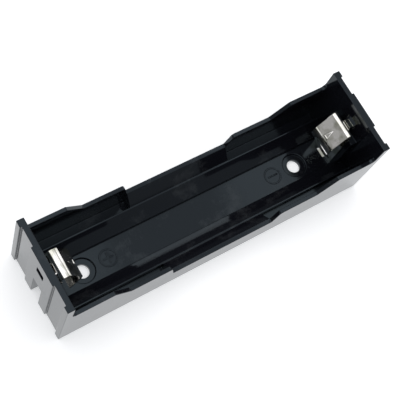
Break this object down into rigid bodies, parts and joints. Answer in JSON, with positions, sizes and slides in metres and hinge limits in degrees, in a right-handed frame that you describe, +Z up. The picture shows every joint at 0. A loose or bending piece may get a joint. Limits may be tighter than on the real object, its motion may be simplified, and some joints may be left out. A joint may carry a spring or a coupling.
{
  "type": "cylindrical cell holder",
  "caption": "Open moulded tray for a cylindrical cell, with a folded leaf spring contact at each end, finger cut-outs and fixing holes in the floor.",
  "frame": {"origin": "centre of the underside, on the plane the tray stands on", "axes": "+X along the cell towards the negative end, +Y across the tray, +Z up out of the open side"},
  "size_m": [0.0774, 0.0202, 0.0202],
  "materials": {
    "black_plastic": "glossy injection-moulded black",
    "nickel": "nickel-plated spring strip"
  },
  "bodies": {
    "root": {"housing": "black_plastic", "positive_contact": "nickel", "negative_contact": "nickel"}
  },
  "joints": []
}
